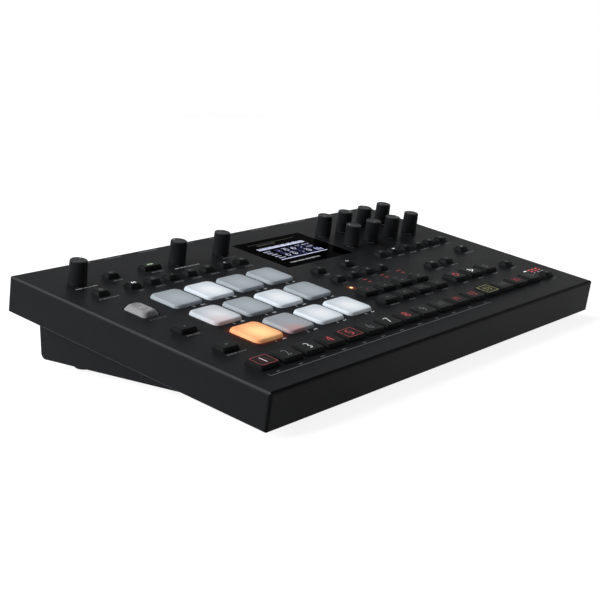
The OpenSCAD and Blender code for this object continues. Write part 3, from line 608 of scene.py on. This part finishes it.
def make_keys():
    small = (KEY_W, KEY_D)
    left = [(LEFT_X, TRACK_Y) + small]
    left += [(TRACK_X + i * TRACK_PITCH, TRACK_Y) + small for i in range(7)]
    left += [(UPPER_X, UPPER_Y) + small, (UPPER_WIDE_X, UPPER_Y, WIDE_W + 0.8, KEY_D)]
    left += [(LEFT_X, y, WIDE_W - 1, WIDE_D) for y in LEFT_WIDE_YS]
    make_key_group("left_keys", left, [
        ring_mark(2.8, PRINT), bar_mark(3.6, WHITE_LIGHT, 1.3), bar_mark(2.2), bar_mark(1.6), dot_mark(0.8),
        bar_mark(2.2), bar_mark(2.6, PALE_PRINT), ring_mark(2.6, PRINT), bar_mark(2.0),
        bar_mark(5.2, GREEN_LIGHT, 1.1), bar_mark(2.8), bar_mark(1.8)])
    screen = [(x, CONFIRM_Y) + small for x in SCREEN_KEYS_X]
    screen += [(ARROWS_X + i * ARROW_PITCH, ARROW_Y) + small for i in range(4)]
    make_key_group("screen_keys", screen, [
        bar_mark(1.6), ring_mark(2.6, PALE_PRINT), arrow_mark(math.pi), arrow_mark(math.pi / 2),
        arrow_mark(-math.pi / 2), arrow_mark(0)])
    mode = [(MODE_X + i * WIDE_PITCH, MODE_Y + k * WIDE_ROW_PITCH, WIDE_W, WIDE_D)
            for k in (0, 1) for i in range(4)]
    make_key_group("mode_keys", mode, [
        bar_mark(2.6), dot_mark(0.8), bar_mark(1.6), bar_mark(2.2),
        bar_mark(1.4, DIM_RED), bar_mark(2.4), bar_mark(2.0), dot_mark(0.9)])
    pages = [(PAGE_X + i * PAGE_PITCH, PAGE_Y) + small for i in range(6)]
    make_key_group("page_keys", pages, [
        bar_mark(2.0), bar_mark(2.6, WHITE_LIGHT, 1.2), bar_mark(2.2), dot_mark(0.8), bar_mark(2.4),
        ring_mark(2.2, PRINT)])
    transport = [(TRANSPORT_X + i * WIDE_PITCH, TRANSPORT_Y, WIDE_W, TRIG_D) for i in range(3)]
    make_key_group("transport_keys", transport, [
        ring_mark(5.4, RED_LIGHT, 0.55),
        lambda s, x, y: add_outline(s, triangle(x, y, 3.4, 0), 0.6, *ON_KEY, WHITE_LIGHT),
        lambda s, x, y: s.frame(x, y, 4.2, 4.2, 0.6, 0.45, *ON_KEY, PRINT)])
    make_key_group("right_keys", [p + small for p in RIGHT_AT], [
        bar_mark(2.0, PALE_PRINT), bar_mark(2.4, PALE_PRINT), bar_mark(2.4), dot_mark(0.8), bar_mark(2.2)])
    shape = Shape()
    add_key(shape, LEFT_X, FUNC_Y, FUNC_W, FUNC_D, FUNC_H, 1.7, GREY_KEY, fillet=1.2, r_top=3.2,
            border=0.7, recess=0.2, corner=2.6)
    add_label(shape, LEFT_X, FUNC_Y, 5, PALE_PRINT, 1.5, FUNC_H - 0.3, FUNC_H - 0.19)
    shape.finish("func_key_cap", "func_key", "func_key")


def add_outline(shape, corners, line, low, high, mat):
    """The outline of a triangle, line wide."""
    middle = [sum(c[k] for c in corners) / len(corners) for k in (0, 1)]
    size = math.dist(corners[0], middle)
    share = 1 - 2 * line / size
    inner = [tuple(middle[k] + (c[k] - middle[k]) * share for k in (0, 1)) for c in corners]
    rings = [[p + (z,) for p in ring]
             for ring, z in ((corners, low), (corners, high), (inner, high), (inner, low), (corners, low))]
    shape.skin(rings, mat)


# ---------------------------------------------------------------- pads
PAD_LOOKS = [PAD_ORANGE, PAD_PINK, PAD_WHITE, PAD_WHITE,
             PAD_SOFT, PAD_GREY, PAD_WHITE, PAD_GREY,
             PAD_GREY, PAD_WHITE, PAD_GREY, PAD_GREY]


def pad_place(k):
    return PAD_X + k % 4 * PAD_PITCH_X, PAD_Y + k // 4 * PAD_PITCH_Y


def make_pads():
    foot = BOARD_TOP + 2
    for k, mat in enumerate(PAD_LOOKS):
        x, y = pad_place(k)
        shape = Shape(chart=lambda p, x=x, y=y: ((p[0] - x) / PAD_W + 0.5, (p[1] - y) / PAD_D + 0.5))
        fw, fd = PAD_W + 2 * FLANGE, PAD_D + 2 * FLANGE
        rings = [rounded_ring(x, y, PAD_W - 4, PAD_D - 4, 2, foot),
                 rounded_ring(x, y, PAD_W - 4, PAD_D - 4, 2, -NECK - 1),
                 rounded_ring(x, y, fw, fd, PAD_R, -NECK - 1), rounded_ring(x, y, fw, fd, PAD_R, -NECK),
                 rounded_ring(x, y, PAD_W, PAD_D, PAD_R, -NECK)]
        shape.loft(rings + cap_rings(x, y, PAD_W, PAD_D, PAD_H, 0.5, PAD_R, PAD_R, 1.0), mat)
        shape.finish(f"pad_{k + 1}_cap", f"pad_{k + 1}", f"pad_{k + 1}")


# ---------------------------------------------------------------- knobs
FLUTES, FLUTE_DEPTH = 36, 0.16
KNOB_TOP_RING = 12  # the ring of a knob's profile where its top begins


def knob_ring(x, y, r, z, flute=0.0):
    steps = FLUTES * 4
    ring = []
    for k in range(steps):
        turn = 2 * math.pi * k / steps
        radius = r - flute * (0.5 + 0.5 * math.cos(FLUTES * turn)) ** 2
        ring.append((x + radius * math.cos(turn), y + radius * math.sin(turn), z))
    return ring


def make_knob(node, x, y, foot_r, pointer):
    """A fluted cap with a smooth foot and rim, a shallow round recess on top and a pale pointer. The top has
    painted light: a paler copy of the rubber.
    """
    def side(z):
        return foot_r + (KNOB_TOP_R - foot_r) * (z - KNOB_LIFT) / (KNOB_H - KNOB_LIFT)

    shape = Shape()
    profile = [(SHAFT_R, -8, 0), (SHAFT_R, KNOB_HOLLOW_H, 0), (KNOB_HOLLOW_R, KNOB_HOLLOW_H, 0),
               (KNOB_HOLLOW_R, KNOB_LIFT, 0), (foot_r, KNOB_LIFT, 0)]
    profile += [(side(z), z, flute) for z, flute in (
        (2.2, 0), (2.6, FLUTE_DEPTH), (9, FLUTE_DEPTH), (14.6, FLUTE_DEPTH), (15.0, 0), (16.2, 0))]
    rim = 0.8
    for k in range(5):
        turn = k / 4 * math.pi / 2
        profile.append((KNOB_TOP_R - rim + rim * math.cos(turn), KNOB_H - rim + rim * math.sin(turn), 0))
    profile += [(KNOB_TOP_R - 1.3, KNOB_H, 0), (KNOB_TOP_R - 1.45, KNOB_H - 0.18, 0), (2.4, KNOB_H - 0.24, 0),
                (0.3, KNOB_H - 0.26, 0)]
    # the top takes the paler copy of the rubber: painted light from above
    shape.loft([knob_ring(x, y, r, z, flute) for r, z, flute in profile], KNOB, KNOB_PAINTED_LIT_TOP, KNOB_TOP_RING)
    reach = (KNOB_TOP_R - 2.9, KNOB_TOP_R - 1.5)
    across = Vector((-math.sin(pointer), math.cos(pointer))) * 0.3
    along = Vector((math.cos(pointer), math.sin(pointer)))
    corners = [along * reach[0] - across, along * reach[1] - across,
               along * reach[1] + across, along * reach[0] + across]
    shape.prism([(x + c.x, y + c.y) for c in corners], KNOB_H - 0.3, KNOB_H - 0.12, PALE_PRINT)
    shape.finish(node + "_cap", node, node, smooth=40)


# Where the pointers stand, in radians; the data knobs' vary with their place
KNOB_POINTERS = {"volume_knob": 0.6, "level_knob": 2.2, "select_knob": 1.2}


def make_knobs():
    for node, joint in joints.items():
        if not node.endswith("knob") and "data_knob" not in node:
            continue
        offset = Vector(joint["pos_m"]) - CORNER
        x, y = offset.dot(RIGHT) / MM, offset.dot(UP_SLOPE) / MM
        pointer = KNOB_POINTERS.get(node, 0.4 + x * 0.07 + y * 0.05)
        make_knob(node, x, y, VOLUME_R if node == "volume_knob" else KNOB_R, pointer)


# ---------------------------------------------------------------- screen
SCREEN_LEFT, SCREEN_FRONT, SCREEN_W, SCREEN_D = 194.2, 156.6, 53.6, 35
ON_GLASS = (-0.02, 0.02)


def make_window():
    glass = new_material("window_glass", srgb(0, 0, 1), 0.08, specular=0.0012)
    add_grain(glass, 60, 0.02, 0.00005)
    shape = Shape()
    rim_w, rim_d = WINDOW_W + 3, WINDOW_D + 3
    bottom, step = -SHEET - 1, -SHEET
    rings = [rounded_ring(WINDOW_X, WINDOW_Y, rim_w, rim_d, WINDOW_R, bottom),
             rounded_ring(WINDOW_X, WINDOW_Y, rim_w, rim_d, WINDOW_R, step),
             rounded_ring(WINDOW_X, WINDOW_Y, WINDOW_W, WINDOW_D, WINDOW_R, step),
             rounded_ring(WINDOW_X, WINDOW_Y, WINDOW_W, WINDOW_D, WINDOW_R, -0.15),
             rounded_ring(WINDOW_X, WINDOW_Y, WINDOW_W - 0.3, WINDOW_D - 0.3, WINDOW_R, 0)]
    shape.loft(rings, glass)
    draw_screen(shape)
    shape.finish("display_window_glass", "case", "display_window")


def draw_screen(shape):
    """A plain page of levels and dials, made of blocks and rings."""
    def block(x, y, w, d, mat=SCREEN_LIGHT):
        shape.strip(SCREEN_LEFT + x + w / 2, SCREEN_FRONT + y + d / 2, w, d, *ON_GLASS, mat)

    def row(x, y, length, mat=SCREEN_LIGHT, height=1.3):
        add_label(shape, SCREEN_LEFT + x + length / 2, SCREEN_FRONT + y, length, mat, height, *ON_GLASS)

    block(0.4, SCREEN_D - 0.5, SCREEN_W - 0.6, 0.5, SCREEN_DIM)
    row(8, SCREEN_D - 3.2, 20, SCREEN_DIM, 2.6)
    block(0.4, SCREEN_D - 12.4, SCREEN_W - 0.8, 1.0)
    row(0.4, SCREEN_D - 10, SCREEN_W - 1, SCREEN_LIGHT, 3.2)
    block(0, 0.2, SCREEN_W, 0.9)
    for k in range(5):
        row(0.6 + k * 0.25, 18.6 - k * 3.6, 7.4 - k % 2 * 1.6, SCREEN_LIGHT, 1.7)
    for line, y in enumerate((15.5, 6.8)):
        for i in range(4):
            x, at = SCREEN_LEFT + 14.6 + i * 8.2, SCREEN_FRONT + y
            mat = SCREEN_LIGHT if (i + line) % 3 else SCREEN_BLUE
            shape.frame(x, at, 4.4, 4.4, 2.15, 0.5, *ON_GLASS, mat)
            turn = 0.7 + i * 1.3 + line * 2.1
            shape.strip(x + math.cos(turn), at + math.sin(turn), 0.9, 0.9, *ON_GLASS, SCREEN_LIGHT)
            row(11.8 + i * 8.2, y - 3.7, 5.6, SCREEN_BLUE, 1.1)
            row(12.4 + i * 8.2, y + 3.3, 4.6, SCREEN_LIGHT if i % 2 else SCREEN_BLUE, 0.9)
    for k in range(4):
        row(44.2, 18.4 - k * 2.6, 8.2 - k * 0.8, SCREEN_LIGHT if k % 2 == 0 else SCREEN_BLUE, 1.3)
    for k in range(6):
        tall = 2 + 4.6 * abs(math.sin(1.7 * k + 0.6))
        block(45 + k * 1.35, 3.2, 0.8, tall, SCREEN_LIGHT if k % 2 else SCREEN_BLUE)
    row(1, -7, 34, PALE_PRINT, 2.0)


# ---------------------------------------------------------------- prints and lights on the panel
# x of the label's middle, y, length, material
LABELS = [(28.6, 159.5, 17.5, PRINT), (55.9, 159.5, 4.5, PRINT), (28.9, FUNC_Y - 14, 14, DIM_PRINT),
          (28.7, LEFT_WIDE_YS[0] - 7.8, 16.4, PRINT), (28.3, LEFT_WIDE_YS[1] - 7.8, 12, PRINT),
          (28.3, KNOB_Y - 7.2, 17.7, PALE_PRINT), (119, KNOB_Y - 8.2, 24, PALE_PRINT),
          (162.4, KNOB_Y - 8.2, 15, PRINT),
          (56.4, UPPER_Y - 7.8, 8.4, PRINT), (UPPER_WIDE_X, UPPER_Y - 7.6, 10, PRINT),
          (SCREEN_KEYS_X[0] + 1, CONFIRM_Y - 7.4, 6, PRINT),
          (SCREEN_KEYS_X[1] + 1, CONFIRM_Y - 7.4, 7, PRINT)]
LABELS += [(TRACK_X + i * TRACK_PITCH, TRACK_Y - 7.8, 8.4, PRINT) for i in range(1, 7)]
LABELS += [(PAGE_X + i * PAGE_PITCH + 0.5, PAGE_Y - 7.8, (6, 8, 9, 11, 10, 7)[i], PRINT) for i in range(6)]
LABELS += [(ARROWS_X + i * ARROW_PITCH, ARROW_Y - 7.2, 6.5, DIM_PRINT) for i in range(4)]
LABELS += [(MODE_X + i * WIDE_PITCH + 7, MODE_Y + 27.6, 5, DIM_PRINT) for i in range(4)]
LABELS += [(MODE_X + i * WIDE_PITCH + 0.6, MODE_Y - 7.3, 10 - i % 2 * 2.5, PRINT) for i in range(4)]
LABELS += [(TRANSPORT_X + i * WIDE_PITCH, TRANSPORT_Y - 10, 7, PRINT) for i in range(3)]
LABELS += [(x + 0.6, y - 7.6, length, PRINT) for (x, y), length in zip(RIGHT_AT, (13, 11, 9, 8, 6))]
REAR_LABELS = [(60, 8), (85, 14), (119, 17), (156, 15), (188, 10), (239, 20), (282, 26), (318, 12), (343, 10)]
STEP_LINE_Y, STEP_LINE = 17, (19.4, 260)


def make_prints():
    shape = Shape()
    start, end = STEP_LINE
    shape.strip((start + end) / 2, STEP_LINE_Y, end - start, 0.42, PRINT_LOW, PRINT_HIGH, PRINT)
    shape.strip(start, STEP_LINE_Y + 1.2, 0.42, 2.4, PRINT_LOW, PRINT_HIGH, PRINT)
    for i in range(12):
        add_label(shape, TRIG_X + i * TRIG_PITCH + 0.3, STEP_LINE_Y + 2.1, 2.6 + i % 4 * 0.5, PRINT, 1.3)
    for k in range(12):
        x, y = pad_place(k)
        add_figures(shape, str(k + 1), x + 0.8, y - 15.2, PRINT_HIGH, 3.3, PALE_PRINT)
        add_label(shape, x + 8.9, y - 15.1, 3.4, PALE_PRINT, 1.7)
    for x, y, length, mat in LABELS:
        add_label(shape, x, y, length, mat)
    for x, length in REAR_LABELS:
        add_label(shape, x, PANEL_D - 4.4, length, PRINT, 1.5)
    shape.finish("panel_prints", "case")


def add_halo(name, x, y, w, d, r, reach, mat):
    """A lamp's light on the panel round what it comes from."""
    shape = Shape(chart=lambda p: (max(off_edge(p, x, y, w, d, r), 0) / reach, 0))
    rings = []
    for share in (0, 0.25, 0.5, 0.75, 1):
        grow = 2 * reach * share
        rings.append(rounded_ring(x, y, w + grow, d + grow, r + grow / 2, 0.015))
    shape.skin(list(reversed(rings)), mat)
    shape.finish(name, "case")


LED_AT = (190.5, 90)
PAGE_LIGHT_X, PAGE_LIGHT_PITCH = 352, 5.6


def make_lights():
    """The small lamps under the panel's surface, and what light they throw on it."""
    shape = Shape()
    shape.prism(disc(*LED_AT, 1.15), PRINT_LOW, 0.12, LED_CORE)
    for i in range(1, 4):
        x, y = MODE_X + i * WIDE_PITCH, LED_AT[1]
        shape.frame(x + 2.6, y + 1.6, 3.2, 2.2, 1, 0.7, PRINT_LOW, PRINT_HIGH, DIM_RED)
        shape.strip(x + 3.4, y + 6.4, 5, 1, PRINT_LOW, PRINT_HIGH, DIM_RED)
    for i in range(4):
        x = PAGE_LIGHT_X + i * PAGE_LIGHT_PITCH
        shape.strip(x, 42.2, 3.4, 1.5, PRINT_LOW, PRINT_HIGH, WHITE_LIGHT if i == 0 else RED_LIGHT)
        shape.strip(x, 39.2, 3.4, 1.3, PRINT_LOW, PRINT_HIGH, RED_LIGHT if i else PALE_PRINT)
        add_label(shape, x, 36.4, 3.0, PALE_PRINT, 1.2)
    shape.finish("panel_lights", "case")
    add_halo("lamp_glow", *LED_AT, 2.4, 2.4, 1.19, 3.6, AMBER_HALO)
    add_halo("pad_1_glow", *pad_place(0), PAD_W + 0.6, PAD_D + 0.6, PAD_R + 0.3, 4, RED_HALO)


# ---------------------------------------------------------------- sockets
def add_rod(shape, x, z, r, y_from, y_to, mat, steps=16):
    """A rod along y, with a rounded outer end."""
    rings = [(r, y_from), (r, y_to - r * 0.5), (r * 0.75, y_to - r * 0.12), (r * 0.3, y_to)]
    shape.loft([[(x + a * math.sin(2 * math.pi * k / steps), y, z + a * math.cos(2 * math.pi * k / steps))
                 for k in range(steps)] for a, y in rings], mat)


DIN_PINS_R, DIN_PIN_R = 3.6, 0.7  # the circle the pins stand on, and a pin


def make_socket_details():
    """What the sockets hold: the five-pin sockets' pins, the tongue of the computer socket, the power pin."""
    shape = Shape(level)
    for i in range(3):
        for k in range(5):
            turn = math.radians(-90 + 45 * k)
            x, z = DIN_X + i * DIN_PITCH + DIN_PINS_R * math.sin(turn), DIN_Z + DIN_PINS_R * math.cos(turn)
            add_rod(shape, x, z, DIN_PIN_R, BACK_Y - 8.9, BACK_Y - 1.8, STEEL)
    add_rod(shape, POWER_X, USB_Z, 0.95, BACK_Y - 9.9, BACK_Y - 1.2, STEEL)
    half, tall = 2.8, 1.6
    corners = [(USB_X - half, USB_Z - tall), (USB_X + half, USB_Z - tall), (USB_X + half, USB_Z + tall),
               (USB_X - half, USB_Z + tall)]
    shape.loft([[(x, y, z) for x, z in corners] for y in (BACK_Y - 9.1, BACK_Y - 1)], PART)
    for k in (-1, 1):
        for z in (USB_Z - tall, USB_Z + tall):
            ring = [(USB_X + k * 1.3 + a, z + b)
                    for a, b in ((-0.5, -0.06), (0.5, -0.06), (0.5, 0.06), (-0.5, 0.06))]
            shape.loft([[(x, y, h) for x, h in ring] for y in (BACK_Y - 9, BACK_Y - 1.6)], STEEL)
    shape.finish("socket_pins", "case")


def make_rocker_marks():
    """A stroke and a ring on the two halves of the power rocker, laid on its own faces."""
    rocker = nodes["power_rocker"]
    faces = [(p.center.copy(), p.normal.copy()) for p in rocker.data.polygons
             if p.normal.y > 0.8 and p.area > 1e-5]
    if not faces:
        return
    faces.sort(key=lambda f: f[0].z)
    shape = Shape(level)
    for (centre, normal), ring in ((faces[-1], False), (faces[0], True)):
        right = Vector((-1, 0, 0))
        up = normal.cross(right) * -1
        at = Vector((ROCKER_X * MM, centre.y, centre.z))
        outline = [(1.4 * math.cos(t * math.pi / 10), 1.4 * math.sin(t * math.pi / 10)) for t in range(20)]
        inner = [(a * 0.7, b * 0.7) for a, b in outline]
        bar = [(-0.25, -1.5), (0.25, -1.5), (0.25, 1.5), (-0.25, 1.5)]

        def lay(points, lift):
            return [tuple((at + (right * a + up * b) * MM + normal * lift * MM) / MM) for a, b in points]

        if ring:
            rings = ((outline, 0), (outline, 0.05), (inner, 0.05), (inner, 0), (outline, 0))
            shape.skin([lay(*ring) for ring in rings], PALE_PRINT)
        else:
            shape.loft([lay(bar, 0), lay(bar, 0.05)], PALE_PRINT)
    shape.finish("rocker_marks", "power_rocker")


# ---------------------------------------------------------------- CAD nodes that keep their shape
def dress(names, mat):
    for name in names:
        obj = nodes[name]
        obj.data.materials.clear()
        obj.data.materials.append(mat)


def dress_nodes():
    dress(["top_cover", "base_case", "rear_panel"], BODY)
    dress(["rubber_feet"], RUBBER)
    dress(["case_screws", "encoder_bodies"], STEEL)
    dress(["control_board", "main_board"], BOARD)
    dress(["audio_jacks"], JACKS)
    dress(["data_sockets"], SOCKETS)
    dress(["switches_and_pad_sensors", "display_module", "power_rocker"], PART)


# ---------------------------------------------------------------- stage
def seen_as_background(made, links):
    """1 for rays that see the background, from the camera or in a reflection, and 0 for light."""
    path = made.new("ShaderNodeLightPath")
    value = path.outputs["Is Camera Ray"]
    for name in ("Is Glossy Ray", "Is Transmission Ray"):
        either = made.new("ShaderNodeMath")
        either.operation = "MAXIMUM"
        links.new(value, either.inputs[0])
        links.new(path.outputs[name], either.inputs[1])
        value = either.outputs[0]
    return value, path


def make_world():
    """White to the camera. Reflections find it white at the horizon and dark overhead, as in a studio
    whose white sheet ends above the object."""
    world = bpy.data.worlds.new("studio")
    bpy.context.scene.world = world
    world.use_nodes = True
    made, links = world.node_tree.nodes, world.node_tree.links
    shade = made["Background"]
    shade.inputs["Color"].default_value = (1, 1, 1, 1)
    seen, path = seen_as_background(made, links)
    place = made.new("ShaderNodeTexCoord")
    split = made.new("ShaderNodeSeparateXYZ")
    links.new(place.outputs["Generated"], split.inputs["Vector"])
    fade = made.new("ShaderNodeMapRange")
    fade.interpolation_type = "SMOOTHSTEP"
    for name, number in (("From Min", 0.3), ("From Max", 0.45), ("To Min", 1.0), ("To Max", 0.03)):
        fade.inputs[name].default_value = number
    links.new(split.outputs["Z"], fade.inputs["Value"])
    sheet = made.new("ShaderNodeMath")
    sheet.operation = "MAXIMUM"
    links.new(fade.outputs["Result"], sheet.inputs[0])
    links.new(path.outputs["Is Camera Ray"], sheet.inputs[1])
    strength = made.new("ShaderNodeMix")
    strength.inputs["A"].default_value = WORLD_LIGHT
    links.new(seen, strength.inputs["Factor"])
    links.new(sheet.outputs[0], strength.inputs["B"])
    links.new(strength.outputs["Result"], shade.inputs["Strength"])


WORLD_LIGHT, FLOOR_GLOW, FLOOR_SIDE = 0.09, 0.88, 1.6


def make_floor():
    """A paper sheet that shows from above only, so that the underside can be looked at."""
    mesh = bpy.data.meshes.new("floor")
    s = FLOOR_SIDE
    mesh.from_pydata([(-s, -s, 0), (s, -s, 0), (s, s, 0), (-s, s, 0)], [], [(0, 1, 2, 3)])
    floor = bpy.data.objects.new("floor", mesh)
    bpy.context.scene.collection.objects.link(floor)
    mat = new_material("floor_paper", (0.35, 0.35, 0.35, 1), 0.9, specular=0.0)
    add_grain(mat, 300, 0.05)
    made, links, shader = parts_of(mat)
    shader.inputs["Emission Color"].default_value = (1, 1, 1, 1)
    seen, _ = seen_as_background(made, links)
    links.new(spread(mat, seen, 0, FLOOR_GLOW), shader.inputs["Emission Strength"])
    facing = made.new("ShaderNodeNewGeometry")
    links.new(spread(mat, facing.outputs["Backfacing"], 1, 0), shader.inputs["Alpha"])
    mesh.materials.append(mat)


def area_light(name, place, target, size, power):
    lamp = bpy.data.lights.new(name, "AREA")
    lamp.shape = "RECTANGLE"
    lamp.size, lamp.size_y = size
    lamp.energy = power
    obj = bpy.data.objects.new(name, lamp)
    obj.location = place
    obj.rotation_euler = (Vector(target) - Vector(place)).to_track_quat("-Z", "Y").to_euler()
    bpy.context.scene.collection.objects.link(obj)


def make_lamps():
    middle = (0, 0, 0.03)
    area_light("left_lamp", (-2.3, 0.9, 1.15), middle, (1.5, 1.1), 72)
    area_light("overhead_lamp", (0.1, 0.7, 1.7), middle, (1.4, 1.2), 16)


def make_camera():
    """Fitted to the photograph: where it stood, in millimetres from the panel's front left corner."""
    stand, forward = Vector((-509.8, -437.5, 201.4)), Vector((0.7732, 0.5951, -0.2194))
    focal_px, frame_px, centre_px, sensor = 1281.4, 600, (336.7, 303.3), 36
    camera = bpy.data.cameras.new("camera")
    camera.sensor_width = sensor
    camera.lens = focal_px / frame_px * sensor
    camera.shift_x = (frame_px / 2 - centre_px[0]) / frame_px
    camera.shift_y = (centre_px[1] - frame_px / 2) / frame_px
    camera.clip_start = 0.01
    obj = bpy.data.objects.new("camera", camera)
    obj.location = CORNER + stand * MM
    obj.rotation_euler = forward.to_track_quat("-Z", "Y").to_euler()
    bpy.context.scene.collection.objects.link(obj)
    bpy.context.scene.camera = obj


make_camera()
dress_nodes()
make_trig_keys()
make_keys()
make_pads()
make_knobs()
make_window()
make_prints()
make_lights()
make_socket_details()
make_rocker_marks()
make_world()
make_floor()
make_lamps()
bpy.context.scene.view_settings.view_transform = "Standard"
